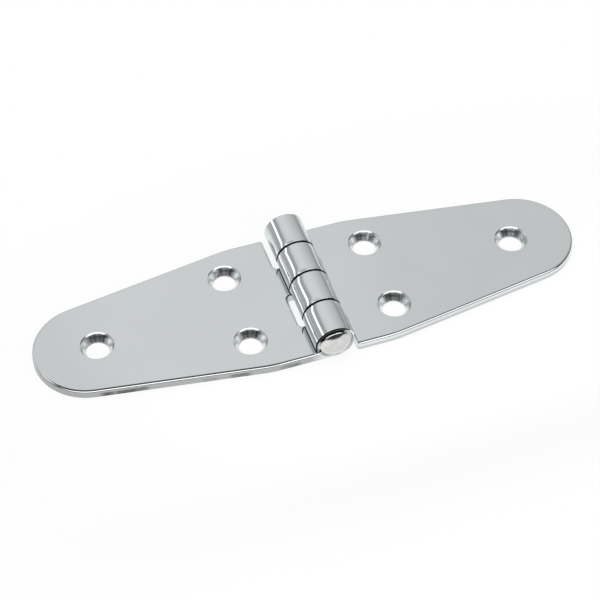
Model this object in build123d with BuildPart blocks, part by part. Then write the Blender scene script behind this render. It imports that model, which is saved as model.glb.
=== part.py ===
from build123d import *
from math import asin, degrees, radians, tan
import os

# Strap hinge of polished sheet steel, lying open and flat.
# X runs across the pin from leaf to leaf, Y along the pin, and Z up from the surface it lies on.
# The origin is under the middle of the barrel. All lengths are in millimetres.

# Driving sizes of a leaf
sheet = 2.5
leaf_reach = 70.0
leaf_width = 40.0
straight_reach = 16.0
tip_radius = 13.7
shoulder_radius = 30.0

# Driving sizes of the barrel
knuckle_count = 4
pin_diameter = 5.0
running_clearance = 0.05
knuckle_gap = 0.16
seam_gap = 0.6
notch_clearance = 0.7
notch_corner_radius = 1.0
notch_mouth_radius = 0.8

# Screw holes, one near the tip and a pair across the root
screw_hole_diameter = 5.8
countersink_diameter = 8.4
countersink_angle = 64.0
rim_bevel = 0.3
rim_bevel_angle = 84.0
tip_hole_reach = 54.2
pair_reach = 18.6
pair_spacing = 21.4

# Pin heads, sunk into flared recesses in the ends of the barrel
end_rim = 0.2
recess_depth = 0.6
recess_flare = 0.4
recess_margin = 0.35
head_clearance = 0.05
head_rim = 0.7
head_crown = 1.1

# Edges eased by polishing
upper_rounding = 0.7
outer_chamfer = 0.3
end_easing = 0.2

# Worked-out sizes
half_width = leaf_width / 2
bore_radius = pin_diameter / 2 + running_clearance
barrel_radius = bore_radius + sheet
axis_height = barrel_radius
roll_angle = 270 + degrees(asin((bore_radius - seam_gap) / barrel_radius))
notch_edge = barrel_radius + notch_clearance
knuckle_pitch = leaf_width / knuckle_count
tip_centre = leaf_reach - tip_radius
recess_floor = half_width - recess_depth
mouth_radius = barrel_radius - end_easing - end_rim
recess_radius = mouth_radius - recess_flare
head_radius = recess_radius - recess_margin

pin_axis = Axis((0, 0, axis_height), (0, 1, 0))
pin_plane = Plane(origin=pin_axis.position, x_dir=pin_axis.direction, z_dir=(1, 0, 0))


def near(value, target):
    """True where two lengths are the same to a hundredth of the sheet."""
    return abs(value - target) < sheet / 100


def notch_corners(plan):
    """Corners at the bottom of the notches, the one on the open side of the leaf first."""
    return plan.vertices().filter_by(lambda v: near(v.X, notch_edge)).sort_by(Axis.Y)


def knuckle_profile(slot):
    """Section of one knuckle beside the pin, with chamfered ends, or an eased one at the end of the barrel."""
    far_end = half_width - slot * knuckle_pitch - (knuckle_gap / 2 if slot else 0)
    near_end = half_width - (slot + 1) * knuckle_pitch + knuckle_gap / 2
    far_bevel = outer_chamfer if slot else end_easing
    with BuildSketch(pin_plane) as profile:
        with BuildLine():
            Polyline(
                (far_end, -bore_radius),
                (near_end, -bore_radius),
                (near_end, outer_chamfer - barrel_radius),
                (near_end + outer_chamfer, -barrel_radius),
                (far_end - far_bevel, -barrel_radius),
                (far_end, far_bevel - barrel_radius),
                close=True,
            )
        make_face()
    return profile.sketch


os.makedirs("parts", exist_ok=True)

# Space for a countersunk screw: a straight hole, a steep cone and a narrow bevel at the rim
with BuildPart() as screw_hole:
    hole_radius = screw_hole_diameter / 2
    rim_radius = countersink_diameter / 2
    cone_radius = rim_radius - rim_bevel
    cone_top = sheet - rim_bevel / tan(radians(rim_bevel_angle / 2))
    cone_foot = cone_top - (cone_radius - hole_radius) / tan(radians(countersink_angle / 2))
    with BuildSketch(Plane.XZ):
        with BuildLine():
            Polyline(
                (0, -sheet),
                (hole_radius, -sheet),
                (hole_radius, cone_foot),
                (cone_radius, cone_top),
                (rim_radius, sheet),
                (rim_radius, 2 * sheet),
                (0, 2 * sheet),
                close=True,
            )
        make_face()
    revolve(axis=Axis.Z)

# Outermost knuckle with a strip of its root, so that the chamfer under the leaf runs out into the roll
with BuildPart() as end_knuckle:
    with Locations((0, half_width)):
        Box(notch_edge, knuckle_pitch / 2, sheet / 2, align=(Align.MIN, Align.MAX, Align.MIN))
    revolve(knuckle_profile(0), axis=pin_axis, revolution_arc=roll_angle)
    root_edges = end_knuckle.edges().filter_by(Axis.X).group_by(Axis.Z)[0]
    chamfer(root_edges.sort_by(Axis.Y)[-1], length=outer_chamfer)

# Right leaf: a flat blank with eased edges and notches, its tongues rolled up round the pin
with BuildPart() as right_leaf:
    with BuildSketch() as blank:
        with Locations((straight_reach / 2, 0)):
            Rectangle(straight_reach, leaf_width)
        with Locations((tip_centre, 0)):
            Circle(tip_radius)
        make_hull()
        shoulders = blank.vertices().filter_by(lambda v: near(v.X, straight_reach))
        fillet(shoulders, radius=shoulder_radius)
        for slot in range(1, knuckle_count, 2):
            with Locations((0, half_width - (slot + 0.5) * knuckle_pitch)):
                Rectangle(2 * notch_edge, knuckle_pitch + knuckle_gap, mode=Mode.SUBTRACT)
        fillet(notch_corners(blank)[1:], radius=notch_corner_radius)
        fillet(notch_corners(blank)[0], radius=notch_mouth_radius)
    extrude(amount=sheet)
    upper_edges = right_leaf.edges().group_by(Axis.Z)[-1]
    fillet(upper_edges.filter_by(lambda e: e.center().X > 0), radius=upper_rounding)
    under_edges = right_leaf.edges().group_by(Axis.Z)[0]
    chamfer(under_edges.filter_by(lambda e: e.center().X > 0), length=outer_chamfer)
    add(end_knuckle.part)
    for slot in range(2, knuckle_count, 2):
        revolve(knuckle_profile(slot), axis=pin_axis, revolution_arc=roll_angle)

    # Recess for the pin head in the end of the barrel
    with BuildSketch(pin_plane):
        with BuildLine():
            Polyline(
                (recess_floor, 0),
                (recess_floor, recess_radius),
                (half_width, mouth_radius),
                (half_width, 0),
                close=True,
            )
        make_face()
    revolve(axis=pin_axis, mode=Mode.SUBTRACT)

    with Locations((tip_hole_reach, 0), (pair_reach, pair_spacing / 2), (pair_reach, -pair_spacing / 2)):
        add(screw_hole.part, mode=Mode.SUBTRACT)
right_leaf.part.label = "right_leaf"
export_step(right_leaf.part, "parts/right_leaf.step")

# Left leaf: the same pressing turned half a turn, so its knuckles fill the other leaf's notches
with BuildPart() as left_leaf:
    add(right_leaf.part, rotation=(0, 0, 180))
left_leaf.part.label = "left_leaf"
export_step(left_leaf.part, "parts/left_leaf.step")

# Hinge pin: a plain shank with a low crowned head on each end
with BuildPart() as hinge_pin:
    head_seat = recess_floor + head_clearance
    head_edge = head_seat + head_rim
    crown_middle = head_edge + head_crown
    with BuildSketch(pin_plane):
        with BuildLine():
            Polyline(
                (crown_middle, 0),
                (0, 0),
                (0, pin_diameter / 2),
                (head_seat, pin_diameter / 2),
                (head_seat, head_radius),
                (head_edge, head_radius),
            )
            TangentArc((crown_middle, 0), (head_edge, head_radius), tangent=(0, 1))
        make_face()
    revolve(axis=pin_axis)
    mirror(about=Plane.XZ)
hinge_pin.part.label = "hinge_pin"
export_step(hinge_pin.part, "parts/hinge_pin.step")
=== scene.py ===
"""Polished strap hinge, lying open on a pale floor: finishes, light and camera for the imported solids."""

import logging
import math
from dataclasses import dataclass
from enum import Enum
from typing import Union

import bmesh
import bpy
from mathutils import Matrix, Vector

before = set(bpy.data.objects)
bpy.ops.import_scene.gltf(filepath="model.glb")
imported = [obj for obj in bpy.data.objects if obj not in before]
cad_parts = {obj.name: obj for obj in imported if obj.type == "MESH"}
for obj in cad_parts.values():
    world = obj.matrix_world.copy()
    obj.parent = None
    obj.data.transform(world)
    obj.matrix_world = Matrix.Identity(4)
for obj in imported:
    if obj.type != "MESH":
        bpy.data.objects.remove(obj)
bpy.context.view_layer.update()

Socket = bpy.types.NodeSocket
Colour = tuple[float, float, float]
Place = tuple[float, float, float]
Pair = tuple[float, float]
Feed = Union[float, Socket]
Paint = Union[Colour, Socket]

log = logging.getLogger("strap_hinge")
MILLIMETRE = 0.001


class Step(Enum):
    """Arithmetic that the finishes use on a value."""

    ADD = "ADD"
    TAKE = "SUBTRACT"
    TIMES = "MULTIPLY"
    ABOVE = "GREATER_THAN"
    LEAST = "MINIMUM"
    MOST = "MAXIMUM"
    POWER = "POWER"
    SIZE = "ABSOLUTE"
    SINE = "SINE"
    PINGPONG = "PINGPONG"


class Measure(Enum):
    """What is measured between a vector and a fixed one."""

    ALONG = "DOT_PRODUCT"
    APART = "DISTANCE"


class NodeBoard:
    """A node tree with short calls for the nodes that the finishes, the floor and the tent share."""

    def __init__(self, tree: bpy.types.NodeTree) -> None:
        """Empties the tree and keeps it.

        Args:
            tree: The node tree of a material or a world.
        """
        self.tree = tree
        self.tree.nodes.clear()

    def node(self, kind: str) -> bpy.types.Node:
        """A new node of the given kind."""
        return self.tree.nodes.new(kind)

    def feed(self, target: Socket, source: Union[Feed, Colour]) -> None:
        """Sets a socket to a number or a colour, or links it to another node's output.

        Args:
            target: The socket that takes the value.
            source: The number, the colour or the other node's output.
        """
        if isinstance(source, bpy.types.NodeSocket):
            self.tree.links.new(source, target)
        elif isinstance(source, tuple):
            target.default_value = (*source, 1.0)
        else:
            target.default_value = source

    def sum_up(self, step: Step, first: Feed, second: Feed = 0.0) -> Socket:
        """One step of arithmetic.

        Args:
            step: What is done.
            first: The first number or socket.
            second: The second number or socket, where the step has one.

        Returns:
            The socket that carries the result.
        """
        node = self.node("ShaderNodeMath")
        node.operation = step.value
        self.feed(node.inputs[0], first)
        self.feed(node.inputs[1], second)
        return node.outputs[0]

    def product(self, first: Feed, *others: Feed) -> Feed:
        """Numbers multiplied together.

        Args:
            first: The first number or socket.
            others: Those that it is multiplied by, in turn.

        Returns:
            The socket that carries the product.
        """
        result = first
        for other in others:
            result = self.sum_up(Step.TIMES, result, other)
        return result

    def size(self, value: Feed) -> Socket:
        """A number without its sign."""
        return self.sum_up(Step.SIZE, value)

    def rounded(self, past: Feed, depth: float) -> Feed:
        """Height lost to rounding, which grows as the square of the distance past its start."""
        beyond = self.sum_up(Step.MOST, past, 0.0)
        return self.product(self.sum_up(Step.POWER, beyond, 2.0), depth)

    def fade(self, value: Feed, start: float, end: float, low: float = 0.0, high: float = 1.0) -> Socket:
        """A smooth change from one level to another.

        Args:
            value: What drives the change.
            start: The value at which it begins.
            end: The value at which it is complete.
            low: The level before the start.
            high: The level past the end.

        Returns:
            The socket that carries the level.
        """
        node = self.node("ShaderNodeMapRange")
        node.interpolation_type = "SMOOTHSTEP"
        self.feed(node.inputs["Value"], value)
        node.inputs["From Min"].default_value = start
        node.inputs["From Max"].default_value = end
        node.inputs["To Min"].default_value = low
        node.inputs["To Max"].default_value = high
        return node.outputs["Result"]

    def fade_by(self, value: Feed, middle: float, offsets: Pair) -> Socket:
        """A fade from 0 to 1 that begins and ends at two offsets from a middle."""
        return self.fade(value, middle + offsets[0], middle + offsets[1])

    def measure(self, what: Measure, vector: Socket, other: Union[Vector, Place]) -> Socket:
        """Measures a vector against a fixed one.

        Args:
            what: What is measured.
            vector: The vector.
            other: The fixed direction or place.

        Returns:
            The socket that carries the measure.
        """
        node = self.node("ShaderNodeVectorMath")
        node.operation = what.value
        self.feed(node.inputs[0], vector)
        node.inputs[1].default_value = other
        return node.outputs["Value"]

    def dot(self, vector: Socket, direction: Union[Vector, Place]) -> Socket:
        """How far a vector points along a fixed direction."""
        return self.measure(Measure.ALONG, vector, direction)

    def gap(self, vector: Socket, place: Place) -> Socket:
        """Distance of a vector from a fixed place."""
        return self.measure(Measure.APART, vector, place)

    def mapped(self, vector: Socket, scale: Place, turn: float = 0.0) -> Socket:
        """Coordinates stretched per axis, and then turned about Z.

        Args:
            vector: The coordinates.
            scale: The stretch along each axis.
            turn: The turn in degrees.

        Returns:
            The socket that carries the new coordinates.
        """
        node = self.node("ShaderNodeMapping")
        self.feed(node.inputs["Vector"], vector)
        node.inputs["Rotation"].default_value = (0.0, 0.0, math.radians(turn))
        node.inputs["Scale"].default_value = scale
        return node.outputs["Vector"]

    def noise(self, vector: Socket, scale: float, detail: float) -> Socket:
        """A soft random cloud.

        Args:
            vector: The coordinates.
            scale: How fine the cloud is.
            detail: How many finer clouds are laid over it.

        Returns:
            The socket that carries the cloud, from 0 to 1.
        """
        node = self.node("ShaderNodeTexNoise")
        self.feed(node.inputs["Vector"], vector)
        node.inputs["Scale"].default_value = scale
        node.inputs["Detail"].default_value = detail
        return node.outputs["Fac"]

    def split(self, vector: Socket) -> tuple[Socket, ...]:
        """The three parts of a vector.

        Args:
            vector: The vector.

        Returns:
            The sockets that carry its x, y and z.
        """
        node = self.node("ShaderNodeSeparateXYZ")
        self.feed(node.inputs[0], vector)
        return tuple(node.outputs)

    def join(self, x: Feed, y: Feed, z: Feed) -> Socket:
        """A vector of three parts.

        Args:
            x: Its first part.
            y: Its second part.
            z: Its third part.

        Returns:
            The socket that carries the vector.
        """
        node = self.node("ShaderNodeCombineXYZ")
        for target, source in zip(node.inputs, (x, y, z)):
            self.feed(target, source)
        return node.outputs[0]

    def mix(self, share: Socket, low: Paint, high: Paint) -> Socket:
        """A colour between two.

        Args:
            share: How much of the second colour there is, from 0 to 1.
            low: The first colour, fixed or made by other nodes.
            high: The second colour, fixed or made by other nodes.

        Returns:
            The socket that carries the colour.
        """
        node = self.node("ShaderNodeMix")
        node.data_type = "RGBA"
        self.feed(node.inputs["Factor"], share)
        self.feed(node.inputs["A"], low)
        self.feed(node.inputs["B"], high)
        return node.outputs["Result"]


def heading(azimuth: float, elevation: float) -> Vector:
    """A direction from the hinge, with azimuth 0 along +Y and 90 along +X.

    Args:
        azimuth: Turn about the vertical, in degrees.
        elevation: Height above the floor, in degrees.

    Returns:
        The direction as a unit vector.
    """
    turn = math.radians(azimuth)
    rise = math.radians(elevation)
    return Vector((math.sin(turn) * math.cos(rise), math.cos(turn) * math.cos(rise), math.sin(rise)))


def rightward(azimuth: float) -> Vector:
    """The level direction to the right of someone who looks along an azimuth in degrees."""
    turn = math.radians(azimuth)
    return Vector((math.cos(turn), -math.sin(turn), 0.0))


@dataclass(frozen=True)
class Spot:
    """A spot on the hinge: its place in millimetres, whole and along each axis, and the way it faces."""

    place: Socket
    x: Socket
    y: Socket
    z: Socket
    normal: Socket

    @classmethod
    def on(cls, board: NodeBoard) -> "Spot":
        """Takes the spot from a solid's own coordinates.

        Args:
            board: The material's board.

        Returns:
            The spot.
        """
        coordinates = board.node("ShaderNodeTexCoord")
        place = board.mapped(coordinates.outputs["Object"], (1 / MILLIMETRE,) * 3)
        return cls(place, *board.split(place), coordinates.outputs["Normal"])

    def upturned(self, board: NodeBoard) -> Socket:
        """How level the surface lies, from 0 on a wall to 1 on a floor."""
        return board.size(board.split(self.normal)[2])


@dataclass(frozen=True)
class HingeSizes:
    """Sizes of the hinge that the finishes follow, in millimetres, and distances from its features."""

    sheet: float = 2.5
    half_width: float = 20.0
    barrel_radius: float = 5.05
    knuckle_pitch: float = 10.0
    knuckle_bevel: float = 0.35
    tip_hole: Pair = (54.2, 0.0)
    pair_hole: Pair = (18.6, 10.7)
    countersink_radius: float = 4.2
    head_radius: float = 3.9
    head_edge: float = 20.15

    def from_pin(self, board: NodeBoard, spot: Spot) -> Socket:
        """Distance from the middle line of the pin."""
        return board.gap(board.join(spot.x, 0.0, spot.z), (0.0, 0.0, self.barrel_radius))

    def from_joint(self, board: NodeBoard, spot: Spot) -> Socket:
        """Distance along the pin from the nearest end of a knuckle."""
        return board.sum_up(Step.PINGPONG, spot.y, self.knuckle_pitch / 2)

    def from_hole(self, board: NodeBoard, spot: Spot) -> Socket:
        """Distance from the middle line of the nearest screw hole.

        Args:
            board: The material's board.
            spot: The spot on the leaf.

        Returns:
            The socket that carries the distance.
        """
        quarter = board.join(board.size(spot.x), board.size(spot.y), 0.0)
        tip = board.gap(quarter, (*self.tip_hole, 0.0))
        pair = board.gap(quarter, (*self.pair_hole, 0.0))
        return board.sum_up(Step.LEAST, tip, pair)


@dataclass(frozen=True)
class BuffedFaces:
    """The faces of a leaf: a buffed polish with painted shade on the right leaf and left tip, duller
    patches, fine grain, hair scratches and scuffs.
    """

    bright: Colour = (0.79, 0.828, 0.836)
    dull: Colour = (0.735, 0.768, 0.777)
    scuffed: Colour = (0.6, 0.625, 0.632)
    buffed: float = 0.05
    hazy: float = 0.1
    level_span: Pair = (0.9, 0.98)
    right_span: Pair = (6.0, 30.0)
    right_shade: float = 0.75
    tip_span: Pair = (-48.0, -68.0)
    patch_scale: float = 0.07
    patch_detail: float = 3.0
    patch_span: Pair = (0.3, 0.7)
    patch_wear: float = 0.3
    grain_stretch: Place = (0.12, 5.0, 0.12)
    grain_detail: float = 3.0
    grain_span: Pair = (0.3, 0.75)
    scratch_turns: Pair = (24.0, -61.0)
    scratch_stretch: Place = (0.11, 6.0, 0.11)
    scratch_detail: float = 1.0
    scratch_span: Pair = (0.7, 0.76)
    scuff_middle: Place = (-64.0, 16.0, 2.5)
    scuff_fineness: Pair = (2.2, 0.16)
    scuff_detail: float = 2.0
    scuff_span: Pair = (0.56, 0.74)
    scuff_strength: float = 0.25
    scuff_across: Pair = (-44.0, -56.0)
    scuff_along: Pair = (-4.0, -8.0)

    def level(self, board: NodeBoard, spot: Spot) -> Socket:
        """Where the sheet lies flat, from 0 to 1."""
        return board.fade(spot.upturned(board), *self.level_span)

    def colour(self, board: NodeBoard, spot: Spot, level: Socket) -> Socket:
        """Colour of the polish, with its painted shade, its duller patches and the scuffs on it.

        Args:
            board: The material's board.
            spot: The spot on the leaf.
            level: Where the sheet lies flat.

        Returns:
            The socket that carries the colour.
        """
        polish = board.mix(self.shade_and_patches(board, spot), self.bright, self.dull)
        return board.mix(board.product(self.scuffs(board, spot), level), polish, self.scuffed)

    def shade_and_patches(self, board: NodeBoard, spot: Spot) -> Socket:
        """How dull the polish is: painted shade on the right leaf and at the left tip, and random duller
        patches.

        Args:
            board: The material's board.
            spot: The spot on the leaf.

        Returns:
            The dullness, from 0 to 1 and a little over.
        """
        # Painted shade: the right leaf and the left tip are darkened.
        right = board.fade(spot.x, *self.right_span, 0.0, self.right_shade)
        tip = board.fade(spot.x, *self.tip_span)
        cloud = board.noise(spot.place, self.patch_scale, self.patch_detail)
        patches = board.fade(cloud, *self.patch_span, 0.0, self.patch_wear)
        return board.sum_up(Step.ADD, board.sum_up(Step.MOST, right, tip), patches)

    def scuffs(self, board: NodeBoard, spot: Spot) -> Feed:
        """Faint curved rub marks along the near side of the left tip.

        Args:
            board: The material's board.
            spot: The spot on the leaf.

        Returns:
            The marks, from 0 to 1.
        """
        bend = board.gap(spot.place, self.scuff_middle)
        close, loose = self.scuff_fineness
        around = board.join(board.product(bend, close), board.product(spot.x, loose), 0.0)
        cloud = board.noise(around, 1.0, self.scuff_detail)
        lines = board.fade(cloud, *self.scuff_span, 0.0, self.scuff_strength)
        across = board.fade(spot.x, *self.scuff_across)
        along = board.fade(spot.y, *self.scuff_along)
        return board.product(lines, across, along)

    def scratches(self, board: NodeBoard, spot: Spot, level: Socket) -> Feed:
        """Sparse hair scratches along the leaf, in two sets.

        Args:
            board: The material's board.
            spot: The spot on the leaf.
            level: Where the sheet lies flat.

        Returns:
            The scratches, from 0 to 1.
        """
        marks: Feed = 0.0
        for turn in self.scratch_turns:
            stretched = board.mapped(spot.place, self.scratch_stretch, turn)
            lines = board.fade(board.noise(stretched, 1.0, self.scratch_detail), *self.scratch_span)
            marks = board.sum_up(Step.MOST, marks, lines)
        return board.product(marks, level)

    def haze(self, board: NodeBoard, spot: Spot, level: Socket) -> Socket:
        """Roughness of the polish, which follows its grain.

        Args:
            board: The material's board.
            spot: The spot on the leaf.
            level: Where the sheet lies flat.

        Returns:
            The socket that carries the roughness.
        """
        cloud = board.noise(board.mapped(spot.place, self.grain_stretch), 1.0, self.grain_detail)
        return board.fade(board.product(cloud, level), *self.grain_span, self.buffed, self.hazy)


@dataclass(frozen=True)
class Countersinks:
    """Walls of the screw holes: turning rings, satin metal, and painted shade on the far wall and on the
    near wall.
    """

    sizes: HingeSizes = HingeSizes()
    far_wall_shade: Colour = (0.22, 0.226, 0.228)
    near_wall_shade: Colour = (0.5, 0.51, 0.515)
    satin_share: float = 0.45
    far_way: Place = (0.32, 0.947, 0.0)
    across_way: Place = (0.947, -0.32, 0.0)
    far_wall_shade_span: Pair = (-0.58, -0.78)
    satin_span: Pair = (-0.74, -0.5)
    near_wall_shade_span: Pair = (0.3, 0.55)
    streak_fineness: float = 7.0
    streak_detail: float = 2.0
    streak_span: Pair = (0.38, 0.6)
    streak_least: float = 0.35
    under_rim: Pair = (-0.1, -0.18)
    over_rim: Pair = (0.05, -0.05)
    ring_fineness: float = 9.0
    ring_height: float = 0.004
    haze: float = 0.14

    def rings(self, board: NodeBoard, spot: Spot) -> tuple[Socket, Feed]:
        """Turning marks round the screw holes.

        Args:
            board: The material's board.
            spot: The spot on the leaf.

        Returns:
            Where the countersinks are, from 0 to 1, and the height of the rings in them in millimetres.
        """
        reach = self.sizes.from_hole(board, spot)
        zone = board.fade_by(reach, self.sizes.countersink_radius, self.over_rim)
        waves = board.sum_up(Step.SINE, board.product(reach, self.ring_fineness))
        return zone, board.product(waves, zone, self.ring_height)

    def walls(self, board: NodeBoard, spot: Spot) -> tuple[Feed, ...]:
        """The satin metal and the painted shade in the countersinks.

        Args:
            board: The material's board.
            spot: The spot on the leaf.

        Returns:
            The streaky painted shade on the far wall, the satin elsewhere and the painted shade on the
            near wall, each from 0 to 1.
        """
        reach = self.sizes.from_hole(board, spot)
        bored = board.fade_by(reach, self.sizes.countersink_radius, self.under_rim)
        facing = board.dot(spot.normal, self.far_way)
        turn = board.product(board.dot(spot.normal, self.across_way), self.streak_fineness)
        cloud = board.noise(board.join(turn, 0.0, 0.0), 1.0, self.streak_detail)
        streaks = board.fade(cloud, *self.streak_span, self.streak_least, 1.0)
        # Painted shade: the far and near walls are darkened by the way they face, the far wall in streaks.
        far_wall_shade = board.product(board.fade(facing, *self.far_wall_shade_span), streaks)
        satin = board.product(board.fade(facing, *self.satin_span), streaks)
        near_wall_shade = board.fade(facing, *self.near_wall_shade_span)
        return tuple(board.product(share, bored) for share in (far_wall_shade, satin, near_wall_shade))


@dataclass(frozen=True)
class SidePatch:
    """A dark patch on a cut side: its middle across the pin, half its length, and how dark it is."""

    middle: float
    half_length: float
    strength: float
    softness: float = 1.0

    def patch(self, board: NodeBoard, spot: Spot) -> Socket:
        """The patch, from 0 to its full strength.

        Args:
            board: The material's board.
            spot: The spot on the leaf.

        Returns:
            The socket that carries the strength.
        """
        away = board.size(board.sum_up(Step.TAKE, spot.x, self.middle))
        start = self.half_length + self.softness
        end = self.half_length - self.softness
        return board.fade(away, start, end, 0.0, self.strength)


@dataclass(frozen=True)
class ShearedSides:
    """The upright cut sides of the sheet, greyer on the left leaf, with painted shade in the low band on
    the right leaf and dark patches low on the left leaf's near side.
    """

    sizes: HingeSizes = HingeSizes()
    left: Colour = (0.44, 0.448, 0.45)
    # Painted shade: the right leaf's grey lies only in the lower band of its side.
    right: Colour = (0.58, 0.6, 0.605)
    patch_dark: Colour = (0.09, 0.092, 0.093)
    side_patches: tuple[SidePatch, ...] = (
        SidePatch(middle=-51.3, half_length=5.5, strength=1.0),
        SidePatch(middle=-31.0, half_length=1.5, strength=0.4),
        SidePatch(middle=-23.8, half_length=2.4, strength=0.8),
        SidePatch(middle=-11.5, half_length=2.4, strength=0.7),
    )
    upright_span: Pair = (0.55, 0.35)
    left_to_right: Pair = (-2.0, 2.0)
    right_shade_drop: float = 0.85
    under_face: Pair = (-0.33, -0.48)
    off_barrel: Pair = (-3.0, 2.0)
    side_patch_stretch: Place = (0.4, 0.4, 0.8)
    side_patch_detail: float = 2.0
    side_patch_span: Pair = (0.3, 0.65)
    side_patch_least: float = 0.4
    side_patch_height: Pair = (1.75, 1.35)
    near_side: Pair = (0.0, -2.0)
    haze: float = 0.12

    def zone(self, board: NodeBoard, spot: Spot) -> Feed:
        """Where the cut sides are, only low down on the right leaf, where their grey is painted shade.

        Args:
            board: The material's board.
            spot: The spot on the leaf.

        Returns:
            The zone, from 0 to 1.
        """
        upright = board.fade(spot.upturned(board), *self.upright_span)
        drop = board.fade(spot.x, *self.left_to_right, 0.0, self.right_shade_drop)
        low = board.fade_by(board.sum_up(Step.ADD, spot.z, drop), self.sizes.sheet, self.under_face)
        outside = board.fade_by(board.size(spot.x), self.sizes.barrel_radius, self.off_barrel)
        return board.product(upright, low, outside)

    def laid_over(self, board: NodeBoard, spot: Spot, zone: Feed, ground: Socket) -> Socket:
        """Puts the cut sides over the colour of the faces.

        Args:
            board: The material's board.
            spot: The spot on the leaf.
            zone: Where the cut sides are.
            ground: The colour of the faces.

        Returns:
            The socket that carries the colour.
        """
        # Grey of the cut sides; on the right leaf it is painted shade.
        sides = board.mix(board.fade(spot.x, *self.left_to_right), self.left, self.right)
        ground = board.mix(zone, ground, sides)
        return board.mix(board.product(zone, self.dark_patches(board, spot)), ground, self.patch_dark)

    def dark_patches(self, board: NodeBoard, spot: Spot) -> Feed:
        """Dark patches low on the left leaf's near side.

        Args:
            board: The material's board.
            spot: The spot on the leaf.

        Returns:
            The patches, from 0 to 1.
        """
        patches: Feed = 0.0
        for side_patch in self.side_patches:
            patches = board.sum_up(Step.MOST, patches, side_patch.patch(board, spot))
        cloud = board.noise(board.mapped(spot.place, self.side_patch_stretch), 1.0, self.side_patch_detail)
        uneven = board.fade(cloud, *self.side_patch_span, self.side_patch_least, 1.0)
        low = board.fade(spot.z, *self.side_patch_height)
        near = board.fade(spot.y, *self.near_side)
        return board.product(patches, uneven, low, near)


@dataclass(frozen=True)
class RolledBarrel:
    """The sheet rolled round the pin: wavy, eased at the knuckle ends, and dark with painted shade and
    some old oil in the joints.
    """

    sizes: HingeSizes = HingeSizes()
    # Painted shade, with some old oil in the knuckle joints.
    oil_and_painted_shade: Colour = (0.012, 0.014, 0.014)
    outer_skin: Pair = (0.4, 0.1)
    over_sheet: Pair = (0.0, 0.4)
    beside_joint: Pair = (0.03, -0.06)
    inner_skin: Pair = (-0.3, -0.45)
    ground_skin: Pair = (-0.3, -0.4)
    shut_in: Pair = (-0.7, -0.9)
    end_face: Pair = (0.32, 0.2)
    recess: Pair = (0.9, 0.7)
    rim_skin: Pair = (0.2, 0.1)
    rim_way: Place = (-0.64, 0.0, 0.77)
    rim_span: Pair = (0.6, 2.0)
    recess_way: Place = (-0.3, 0.0, 0.95)
    recess_span: Pair = (1.8, 2.8)
    wave: float = 0.22
    ease_height: float = 0.044
    ease_reach: float = 1.8
    uneased_ends: Pair = (-3.0, -4.0)
    oil_and_shade_haze: float = 0.3
    ground_haze: float = 0.4

    def zone(self, board: NodeBoard, spot: Spot) -> Feed:
        """Where the outside of the roll is, from 0 to 1."""
        near = board.fade_by(self.sizes.from_pin(board, spot), self.sizes.barrel_radius, self.outer_skin)
        return board.product(near, board.fade_by(spot.z, self.sizes.sheet, self.over_sheet))

    def ground(self, board: NodeBoard, spot: Spot) -> Socket:
        """Where the inside of the roll is, which was never polished, from 0 to 1."""
        return board.fade_by(self.sizes.from_pin(board, spot), self.sizes.barrel_radius, self.ground_skin)

    def oil_and_shade(self, board: NodeBoard, spot: Spot, rolled: Feed) -> Socket:
        """Where painted shade darkens the joints of the knuckles, with some old oil there, the inside of
        the rolls and the near end.

        Args:
            board: The material's board.
            spot: The spot on the leaf.
            rolled: Where the outside of the roll is.

        Returns:
            The darkening, from 0 to 1.
        """
        from_joint = self.sizes.from_joint(board, spot)
        from_pin = self.sizes.from_pin(board, spot)
        # Painted shade with some old oil in the knuckle joints, and painted shade inside the rolls.
        joint = board.fade_by(from_joint, self.sizes.knuckle_bevel, self.beside_joint)
        inside = board.fade_by(from_pin, self.sizes.barrel_radius, self.inner_skin)
        shut_in = board.fade_by(board.size(spot.y), self.sizes.half_width, self.shut_in)
        dark = board.sum_up(Step.MOST, board.product(joint, rolled), inside)
        near_end = self.shaded_end(board, spot, inside)
        return board.sum_up(Step.MOST, board.product(dark, shut_in), near_end)

    def shaded_end(self, board: NodeBoard, spot: Spot, inside: Socket) -> Socket:
        """Where painted shade darkens the upper left of the near end: its rim and the recess inside it.

        Args:
            board: The material's board.
            spot: The spot on the leaf.
            inside: Where the inside of the roll is.

        Returns:
            The darkening, from 0 to 1.
        """
        about = board.join(spot.x, 0.0, board.sum_up(Step.TAKE, spot.z, self.sizes.barrel_radius))
        end_face = board.fade_by(spot.y, -self.sizes.half_width, self.end_face)
        skin = board.fade_by(self.sizes.from_pin(board, spot), self.sizes.barrel_radius, self.rim_skin)
        outside = board.sum_up(Step.TAKE, 1.0, inside)
        # Painted shade on the upper left of the near end only.
        rim_side = board.fade(board.dot(about, self.rim_way), *self.rim_span)
        rim = board.product(end_face, skin, outside, rim_side)
        depth = board.fade_by(spot.y, -self.sizes.half_width, self.recess)
        recess_side = board.fade(board.dot(about, self.recess_way), *self.recess_span)
        return board.sum_up(Step.MOST, rim, board.product(depth, inside, recess_side))

    def eased(self, board: NodeBoard, spot: Spot, rolled: Feed) -> Feed:
        """Height lost to polishing at the joints between knuckles.

        Args:
            board: The material's board.
            spot: The spot on the leaf.
            rolled: Where the outside of the roll is.

        Returns:
            The height in millimetres, not above zero.
        """
        past = board.sum_up(Step.TAKE, self.ease_reach, self.sizes.from_joint(board, spot))
        inner = board.fade_by(board.size(spot.y), self.sizes.half_width, self.uneased_ends)
        return board.product(board.rounded(past, -self.ease_height), rolled, inner)


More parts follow.
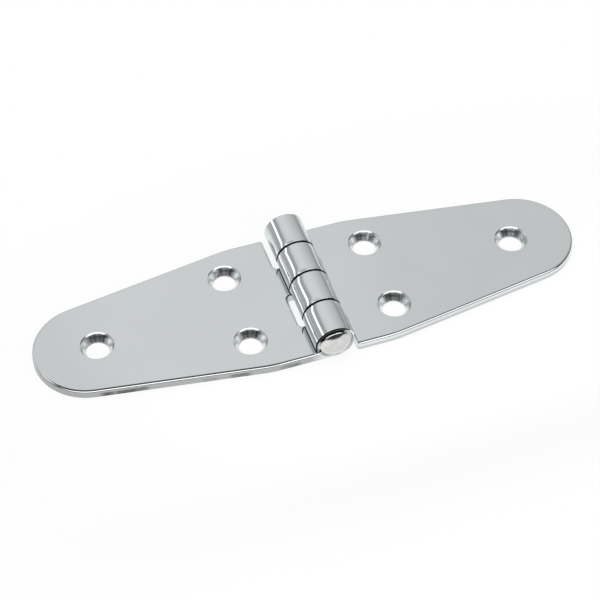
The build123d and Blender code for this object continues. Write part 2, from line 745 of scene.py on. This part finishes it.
@dataclass(frozen=True)
class Steel:
    """What the two steels share: a bare metal with relief in millimetres."""

    name: str = "steel"
    sizes: HingeSizes = HingeSizes()

    def build(self) -> bpy.types.Material:
        """Makes the material.

        Returns:
            The finished material.
        """
        material = bpy.data.materials.new(self.name)
        material.use_nodes = True
        board = NodeBoard(material.node_tree)
        shader = board.node("ShaderNodeBsdfPrincipled")
        shader.inputs["Metallic"].default_value = 1.0
        relief = board.node("ShaderNodeBump")
        relief.inputs["Distance"].default_value = MILLIMETRE
        board.feed(relief.inputs["Height"], self.finish(board, shader, Spot.on(board)))
        board.feed(shader.inputs["Normal"], relief.outputs["Normal"])
        output = board.node("ShaderNodeOutputMaterial")
        board.feed(output.inputs["Surface"], shader.outputs["BSDF"])
        return material

    def finish(self, board: NodeBoard, shader: bpy.types.Node, spot: Spot) -> Feed:
        """Gives the shader its colour and haze, each steel in its own way.

        Args:
            board: The material's board.
            shader: The metal's shader.
            spot: The spot on the solid.

        Returns:
            The height of the relief in millimetres.
        """
        raise NotImplementedError


@dataclass(frozen=True)
class LeafSteel(Steel):
    """Stainless sheet: buffed faces, countersunk holes, sheared sides and a rolled barrel."""

    name: str = "leaf_steel"
    faces: BuffedFaces = BuffedFaces()
    countersinks: Countersinks = Countersinks()
    sides: ShearedSides = ShearedSides()
    barrel: RolledBarrel = RolledBarrel()
    scratch_haze: float = 0.1
    scratch_depth: float = 0.002
    wave_scale: float = 0.1
    sheet_wave: float = 0.02

    def finish(self, board: NodeBoard, shader: bpy.types.Node, spot: Spot) -> Feed:
        """Lays the parts of the finish over each other.

        Args:
            board: The material's board.
            shader: The metal's shader.
            spot: The spot on the leaf.

        Returns:
            The height of the relief in millimetres.
        """
        level = self.faces.level(board, spot)
        scratches = self.faces.scratches(board, spot, level)
        sheared = self.sides.zone(board, spot)
        rolled = self.barrel.zone(board, spot)
        oil_and_shade = self.barrel.oil_and_shade(board, spot, rolled)
        bored, rings = self.countersinks.rings(board, spot)
        far_wall_shade, satin, near_wall_shade = self.countersinks.walls(board, spot)

        matt = board.product(satin, self.countersinks.satin_share)
        board.feed(shader.inputs["Metallic"], board.sum_up(Step.TAKE, 1.0, matt))

        colour = self.faces.colour(board, spot, level)
        colour = self.sides.laid_over(board, spot, sheared, colour)
        # Painted shade, with some old oil in the knuckle joints, on the barrel and its near end.
        colour = board.mix(oil_and_shade, colour, self.barrel.oil_and_painted_shade)
        # Painted shade on the near and far walls of the countersinks.
        colour = board.mix(near_wall_shade, colour, self.countersinks.near_wall_shade)
        colour = board.mix(far_wall_shade, colour, self.countersinks.far_wall_shade)
        board.feed(shader.inputs["Base Color"], colour)

        haze = self.faces.haze(board, spot, level)
        for mark, extra in (
            (scratches, self.scratch_haze),
            (sheared, self.sides.haze),
            (bored, self.countersinks.haze),
            (oil_and_shade, self.barrel.oil_and_shade_haze),
            (self.barrel.ground(board, spot), self.barrel.ground_haze),
        ):
            haze = board.sum_up(Step.ADD, haze, board.product(mark, extra))
        board.feed(shader.inputs["Roughness"], haze)

        wave = board.sum_up(Step.ADD, board.product(rolled, self.barrel.wave), self.sheet_wave)
        height = board.product(board.noise(spot.place, self.wave_scale, 0.0), wave)
        height = board.sum_up(Step.ADD, height, self.barrel.eased(board, spot, rolled))
        height = board.sum_up(Step.ADD, height, rings)
        return board.sum_up(Step.TAKE, height, board.product(scratches, self.scratch_depth))


@dataclass(frozen=True)
class PinSteel(Steel):
    """Drawn and crowned pin steel: bright, with faint turning rings and eased edges on its heads."""

    name: str = "pin_steel"
    bright: Colour = (0.72, 0.713, 0.7)
    dull: Colour = (0.63, 0.622, 0.61)
    buffed: float = 0.07
    hazy: float = 0.14
    patch_scale: float = 0.5
    patch_detail: float = 3.0
    patch_span: Pair = (0.35, 0.65)
    patch_height: float = 0.02
    ring_fineness: float = 3.5
    ring_detail: float = 2.0
    ring_span: Pair = (0.3, 0.7)
    ring_height: float = 0.004
    edge_easing: float = 0.27
    edge_depth: float = 1.15

    def finish(self, board: NodeBoard, shader: bpy.types.Node, spot: Spot) -> Feed:
        """Gives the pin its patches, its rings and the eased edges of its heads.

        Args:
            board: The material's board.
            shader: The metal's shader.
            spot: The spot on the pin.

        Returns:
            The height of the relief in millimetres.
        """
        from_axis = self.sizes.from_pin(board, spot)
        outward = board.join(board.product(from_axis, self.ring_fineness), 0.0, 0.0)
        rings = board.noise(outward, 1.0, self.ring_detail)
        patches = board.noise(spot.place, self.patch_scale, self.patch_detail)
        colour = board.mix(board.fade(patches, *self.patch_span), self.dull, self.bright)
        board.feed(shader.inputs["Base Color"], colour)
        haze = board.fade(rings, *self.ring_span, self.buffed, self.hazy)
        board.feed(shader.inputs["Roughness"], haze)

        uneven = board.product(patches, self.patch_height)
        height = board.sum_up(Step.ADD, board.product(rings, self.ring_height), uneven)
        along = board.sum_up(Step.LEAST, board.size(spot.y), self.sizes.head_edge)
        for way, end in ((from_axis, self.sizes.head_radius), (along, self.sizes.head_edge)):
            past = board.sum_up(Step.TAKE, way, end - self.edge_easing)
            height = board.sum_up(Step.TAKE, height, board.rounded(past, self.edge_depth))
        return height


@dataclass(frozen=True)
class PaleFloor:
    """Pale plain floor that the hinge lies on, brightest in a painted pool of light round it, with painted
    shade in front that the metal mirrors. Lengths are in metres.
    """

    radius: float = 4.0
    segments: int = 96
    drop: float = 0.00005
    colour: Colour = (0.93, 0.93, 0.93)
    dim: Colour = (0.48, 0.48, 0.48)
    dark: Colour = (0.05, 0.05, 0.05)
    glow_share: float = 0.86
    pool_stretch: Place = (0.5, 1.0, 1.0)
    pool_middle: Place = (0.01, -0.02, 0.0)
    pool_span: Pair = (0.08, 0.02)
    front_span: Pair = (-0.08, -0.045)

    def build(self) -> bpy.types.Object:
        """Makes the floor and puts it in the scene.

        Returns:
            The floor's object.
        """
        disc = bmesh.new()
        bmesh.ops.create_circle(disc, cap_ends=True, segments=self.segments, radius=self.radius)
        bmesh.ops.translate(disc, verts=disc.verts, vec=(0.0, 0.0, -self.drop))
        mesh = bpy.data.meshes.new("pale_floor")
        disc.to_mesh(mesh)
        disc.free()
        mesh.materials.append(self.paint())
        floor = bpy.data.objects.new("pale_floor", mesh)
        bpy.context.scene.collection.objects.link(floor)
        return floor

    def paint(self) -> bpy.types.Material:
        """Makes a paint that is white where it is seen, bright in the metal, and keeps the soft shadow.

        Returns:
            The finished material.
        """
        material = bpy.data.materials.new("pale_floor")
        material.use_nodes = True
        board = NodeBoard(material.node_tree)
        place = board.node("ShaderNodeTexCoord").outputs["Object"]
        # Painted pool of light round the hinge and painted shade in front, seen in the metal.
        front = board.fade(board.split(place)[1], *self.front_span)
        reach = board.gap(board.mapped(place, self.pool_stretch), self.pool_middle)
        pool = board.product(board.fade(reach, *self.pool_span), front)

        matt = board.node("ShaderNodeBsdfDiffuse")
        sheet = board.mix(pool, self.dim, self.colour)
        board.feed(matt.inputs["Color"], board.mix(board.sum_up(Step.TAKE, 1.0, front), sheet, self.dark))
        glow = board.node("ShaderNodeEmission")
        glow.inputs["Strength"].default_value = 1.0
        blend = board.node("ShaderNodeMixShader")
        board.feed(blend.inputs["Fac"], self.glowing(board, pool))
        board.feed(blend.inputs[1], matt.outputs["BSDF"])
        board.feed(blend.inputs[2], glow.outputs["Emission"])
        output = board.node("ShaderNodeOutputMaterial")
        board.feed(output.inputs["Surface"], blend.outputs["Shader"])
        return material

    def glowing(self, board: NodeBoard, pool: Feed) -> Socket:
        """How far the floor glows, which is fully past the pool where it is seen.

        Args:
            board: The material's board.
            pool: Where the pool is.

        Returns:
            The share of the glow, from 0 to 1.
        """
        rays = board.node("ShaderNodeLightPath").outputs
        lit = board.product(pool, self.glow_share)
        whitened = board.sum_up(Step.TAKE, board.sum_up(Step.ADD, lit, 1.0), pool)
        direct = board.sum_up(Step.MOST, rays["Is Camera Ray"], rays["Is Transmission Ray"])
        seen = board.product(direct, whitened)
        mirrored = board.product(rays["Is Glossy Ray"], lit)
        return board.sum_up(Step.MOST, seen, mirrored)


@dataclass(frozen=True)
class SoftPanel:
    """A soft-edged patch of the tent, lighter or darker than what is round it. Angles are in degrees."""

    azimuth: float
    elevation: float
    half_width: float
    half_height: float
    level: float
    softness: float

    def laid_over(self, board: NodeBoard, way: Socket, light: Feed) -> Socket:
        """Brings the light to the panel's level where the panel is.

        Args:
            board: The world's board.
            way: The direction that is looked in.
            light: The light before this panel.

        Returns:
            The socket that carries the light with the panel in it.
        """
        middle = heading(self.azimuth, self.elevation)
        across = rightward(self.azimuth)
        upward = across.cross(middle)
        across_share = board.dot(way, across / math.sin(math.radians(self.half_width)))
        up_share = board.dot(way, upward / math.sin(math.radians(self.half_height)))
        reach = board.gap(board.join(across_share, up_share, 0.0), (0.0, 0.0, 0.0))
        patch = board.fade_by(reach, 1.0, (self.softness, -self.softness))
        ahead = board.sum_up(Step.ABOVE, board.dot(way, middle), 0.0)
        change = board.product(board.sum_up(Step.TAKE, self.level, light), patch, ahead)
        return board.sum_up(Step.ADD, light, change)


@dataclass(frozen=True)
class SoftTent:
    """Soft light all round, brightest behind and above the hinge, with a dark gap overhead."""

    azimuth: float = -5.0
    elevation: float = 50.0
    # Cosine of the angle from the middle of the wall of light, and the level there
    steps: tuple[Pair, ...] = (
        (-1.0, 0.05),
        (0.1, 0.05),
        (0.39, 0.33),
        (0.6, 0.51),
        (0.9, 0.67),
        (1.0, 0.76),
    )
    overhead_gap: SoftPanel = SoftPanel(
        azimuth=19.0, elevation=99.0, half_width=43.0, half_height=33.0, level=0.08, softness=0.2
    )
    front_screen: SoftPanel = SoftPanel(
        azimuth=196.0, elevation=35.0, half_width=46.0, half_height=15.0, level=1.75, softness=0.1
    )
    left_screen: SoftPanel = SoftPanel(
        azimuth=-69.0, elevation=40.0, half_width=16.0, half_height=15.0, level=1.2, softness=0.3
    )
    right_screen: SoftPanel = SoftPanel(
        azimuth=141.0, elevation=41.0, half_width=18.0, half_height=20.0, level=1.4, softness=0.15
    )
    back_left_frame: SoftPanel = SoftPanel(
        azimuth=-45.0, elevation=26.0, half_width=24.0, half_height=15.0, level=0.4, softness=0.4
    )
    back_left_strip: SoftPanel = SoftPanel(
        azimuth=-47.0, elevation=21.5, half_width=20.0, half_height=4.5, level=1.6, softness=0.3
    )

    def build(self) -> bpy.types.World:
        """Makes the world's light, and a white world where it is seen.

        Returns:
            The world.
        """
        world = bpy.data.worlds.new("soft_tent")
        bpy.context.scene.world = world
        world.use_nodes = True
        board = NodeBoard(world.node_tree)
        way = board.node("ShaderNodeTexCoord").outputs["Generated"]
        light: Feed = self.back_wall(board, way)
        for panel in (
            self.overhead_gap,
            self.front_screen,
            self.left_screen,
            self.right_screen,
            self.back_left_frame,
            self.back_left_strip,
        ):
            light = panel.laid_over(board, way, light)
        seen = board.node("ShaderNodeLightPath").outputs["Is Camera Ray"]
        glow = board.node("ShaderNodeBackground")
        glow.inputs["Color"].default_value = (1.0, 1.0, 1.0, 1.0)
        board.feed(glow.inputs["Strength"], board.sum_up(Step.MOST, light, seen))
        output = board.node("ShaderNodeOutputWorld")
        board.feed(output.inputs["Surface"], glow.outputs["Background"])
        return world

    def back_wall(self, board: NodeBoard, way: Socket) -> Socket:
        """The large soft wall of light, which falls off from its middle.

        Args:
            board: The world's board.
            way: The direction that is looked in.

        Returns:
            The socket that carries the light.
        """
        facing = board.dot(way, heading(self.azimuth, self.elevation))
        ramp = board.node("ShaderNodeValToRGB")
        board.feed(ramp.inputs["Fac"], board.sum_up(Step.ADD, board.product(facing, 0.5), 0.5))
        stops = ramp.color_ramp.elements
        while len(stops) < len(self.steps):
            stops.new(0.5)
        for stop, (cosine, level) in zip(stops, self.steps):
            stop.position = 0.5 + cosine / 2
            stop.color = (level, level, level, 1.0)
        return ramp.outputs["Color"]


@dataclass(frozen=True)
class FillLamp:
    """A large soft lamp overhead that lights the floor and matt surfaces, and that no metal mirrors."""

    side: float = 1.6
    height: float = 1.5
    level: float = 2.2

    def build(self) -> bpy.types.Object:
        """Makes the lamp.

        Returns:
            The lamp's object.
        """
        lamp = bpy.data.lights.new("fill_lamp", "AREA")
        lamp.shape = "SQUARE"
        lamp.size = self.side
        lamp.energy = self.level * math.pi * self.side**2
        holder = bpy.data.objects.new("fill_lamp", lamp)
        holder.matrix_world = Matrix.Translation((0.0, 0.0, self.height))
        holder.visible_camera = False
        holder.visible_glossy = False
        bpy.context.scene.collection.objects.link(holder)
        return holder


@dataclass(frozen=True)
class PhotoCamera:
    """The viewing camera, over the near side and a little to the left."""

    place: Place = (-0.105802, -0.305875, 0.37465)
    azimuth: float = 18.697
    dip: float = 49.25
    roll: float = -0.118
    lens: float = 119.396
    sensor: float = 36.0
    nearest: float = 0.01

    def build(self) -> bpy.types.Object:
        """Makes the camera and gives it to the scene.

        Returns:
            The camera's object.
        """
        lens = bpy.data.cameras.new("photo_camera")
        lens.lens = self.lens
        lens.sensor_fit = "HORIZONTAL"
        lens.sensor_width = self.sensor
        lens.clip_start = self.nearest
        camera = bpy.data.objects.new("photo_camera", lens)
        camera.matrix_world = self.stance()
        bpy.context.scene.collection.objects.link(camera)
        bpy.context.scene.camera = camera
        return camera

    def stance(self) -> Matrix:
        """Where the camera stands and how it is turned.

        Returns:
            The camera's matrix.
        """
        forward = heading(self.azimuth, -self.dip)
        level = rightward(self.azimuth)
        upward = level.cross(forward)
        turn = math.radians(self.roll)
        right = math.cos(turn) * level + math.sin(turn) * upward
        top = -math.sin(turn) * level + math.cos(turn) * upward
        stance = Matrix((right, top, -forward)).transposed().to_4x4()
        stance.translation = Vector(self.place)
        return stance


@dataclass(frozen=True)
class StrapHinge:
    """The hinge itself: two leaves with rolled knuckles, and the pin that joins them."""

    leaves: tuple[str, ...] = ("left_leaf", "right_leaf")
    pins: tuple[str, ...] = ("hinge_pin",)
    leaf_steel: LeafSteel = LeafSteel()
    pin_steel: PinSteel = PinSteel()

    def dress(self) -> None:
        """Gives each solid its finish."""
        for names, finish in ((self.leaves, self.leaf_steel), (self.pins, self.pin_steel)):
            material = finish.build()
            for name in names:
                self.coat(name, material)

    def coat(self, name: str, material: bpy.types.Material) -> None:
        """Puts a material on one solid.

        Args:
            name: The solid's name.
            material: Its finish.
        """
        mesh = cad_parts[name].data
        mesh.materials.clear()
        mesh.materials.append(material)
        log.info("%s dressed in %s", name, material.name)


def main() -> None:
    """Dresses the hinge and sets the floor, the light and the camera round it."""
    logging.basicConfig(level=logging.INFO, format="%(message)s")
    StrapHinge().dress()
    log.info("floor %s", PaleFloor().build().name)
    log.info("light %s", SoftTent().build().name)
    log.info("lamp %s", FillLamp().build().name)
    log.info("camera %s", PhotoCamera().build().name)
    bpy.context.scene.view_settings.view_transform = "Standard"


if __name__ == "__main__":
    main()
